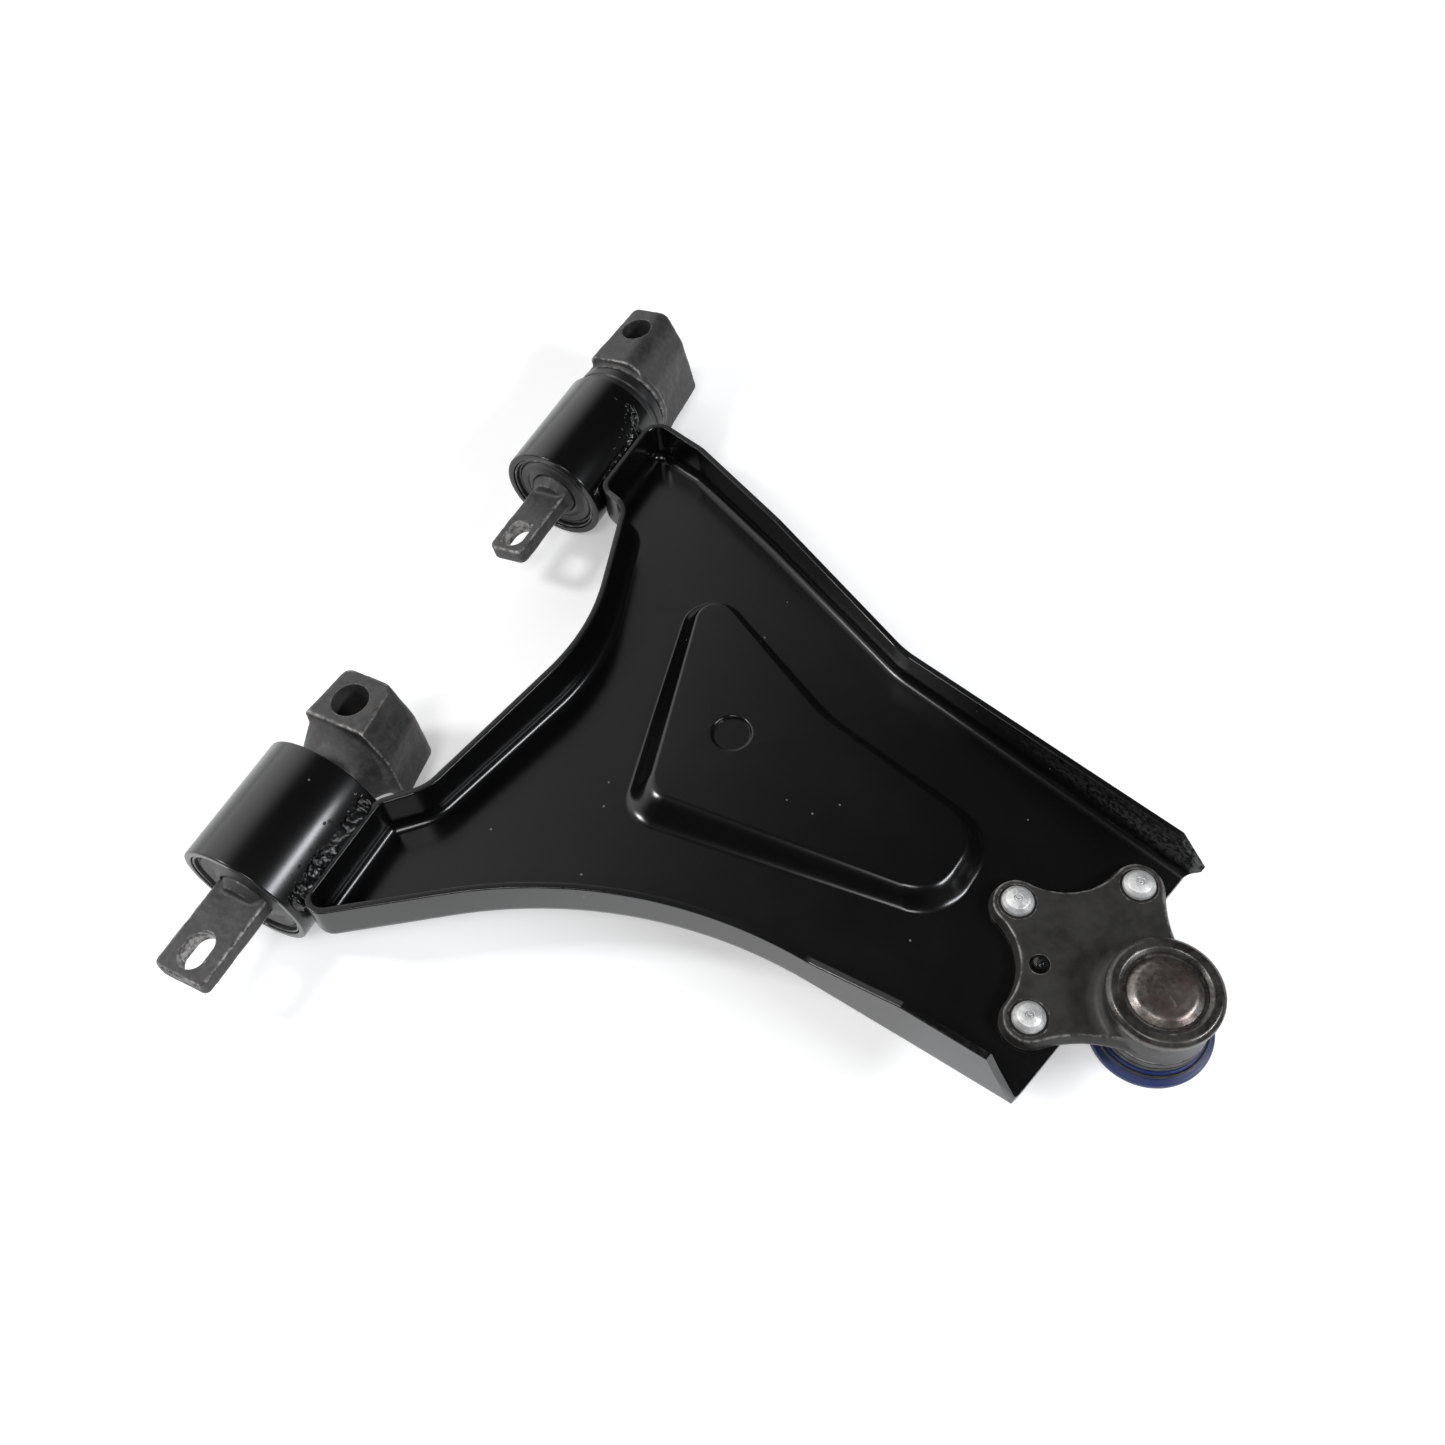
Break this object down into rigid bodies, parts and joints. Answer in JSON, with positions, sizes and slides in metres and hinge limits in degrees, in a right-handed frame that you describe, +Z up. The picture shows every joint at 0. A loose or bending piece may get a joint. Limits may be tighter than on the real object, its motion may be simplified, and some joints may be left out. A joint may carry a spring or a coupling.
{
  "type": "control arm",
  "caption": "Pressed-steel suspension control arm: A-shaped flanged tray, two welded bush tubes with rubber-bonded bar pins, and a riveted ball joint with a dust boot and stud.",
  "frame": {"origin": "under the middle of the whole arm, at the height of the stud's tip, which is its lowest point", "axes": "+X from the bush axis to the ball joint, +Y along the bush axis from the rear bush to the front bush, +Z up, square to the pressing's web, towards the open side of the tray"},
  "size_m": [0.4574, 0.449, 0.1077],
  "materials": {
    "gloss_black_paint": "gloss black paint over pressed and welded steel",
    "forged_grey_steel": "dark grey phosphated forging, slightly rough, edges rubbed lighter",
    "bright_zinc": "bright zinc, cold-headed",
    "black_rubber": "matt moulded rubber",
    "blue_rubber": "dark blue moulded rubber, half gloss",
    "shell_steel": "plain drawn steel, dulled",
    "seat_plastic": "natural acetal",
    "ground_steel": "ground and turned steel"
  },
  "bodies": {
    "arm": {"arm_pressing": "gloss_black_paint", "rear_bush_tube": "gloss_black_paint", "front_bush_tube": "gloss_black_paint", "rear_weld_bead": "gloss_black_paint", "front_weld_bead": "gloss_black_paint", "rear_bush_shell": "shell_steel", "front_bush_shell": "shell_steel", "rear_bush_rubber": "black_rubber", "front_bush_rubber": "black_rubber", "ball_joint_housing": "forged_grey_steel", "ball_joint_cap": "forged_grey_steel", "upper_ball_seat": "seat_plastic", "lower_ball_seat": "seat_plastic", "preload_spring": "ground_steel", "boot_upper_ring": "bright_zinc", "rivet_1": "bright_zinc", "rivet_2": "bright_zinc", "rivet_3": "bright_zinc"},
    "rear_pin": {"rear_bar_pin": "forged_grey_steel"},
    "front_pin": {"front_bar_pin": "forged_grey_steel"},
    "boot": {"dust_boot": "blue_rubber"},
    "boot_ring": {"boot_lower_ring": "bright_zinc"},
    "stud": {"ball_stud": "ground_steel"}
  },
  "joints": [
    {"name": "rear_pin_twist", "type": "hinge", "parent": "arm", "child": "rear_pin", "pos_m": [-0.195, -0.1437, 0.074], "axis": [0, 1, 0], "range_deg": [-20, 20], "stiffness_Nm_per_rad": 20},
    {"name": "front_pin_twist", "type": "hinge", "parent": "arm", "child": "front_pin", "pos_m": [-0.195, 0.1312, 0.074], "axis": [0, 1, 0], "range_deg": [-20, 20], "stiffness_Nm_per_rad": 20},
    {"name": "ball_travel_swing", "type": "hinge", "parent": "arm", "child": "boot", "pos_m": [0.2002, -0.0362, 0.068], "axis": [0, 1, 0], "range_deg": [-14, 14], "deforming": ["dust_boot"]},
    {"name": "ball_side_swing", "type": "hinge", "parent": "boot", "child": "boot_ring", "pos_m": [0.2002, -0.0362, 0.068], "axis": [1, 0, 0], "range_deg": [-14, 14]},
    {"name": "stud_spin", "type": "hinge", "parent": "boot_ring", "child": "stud", "pos_m": [0.2002, -0.0362, 0.068], "axis": [0, 0, 1], "continuous": true}
  ]
}
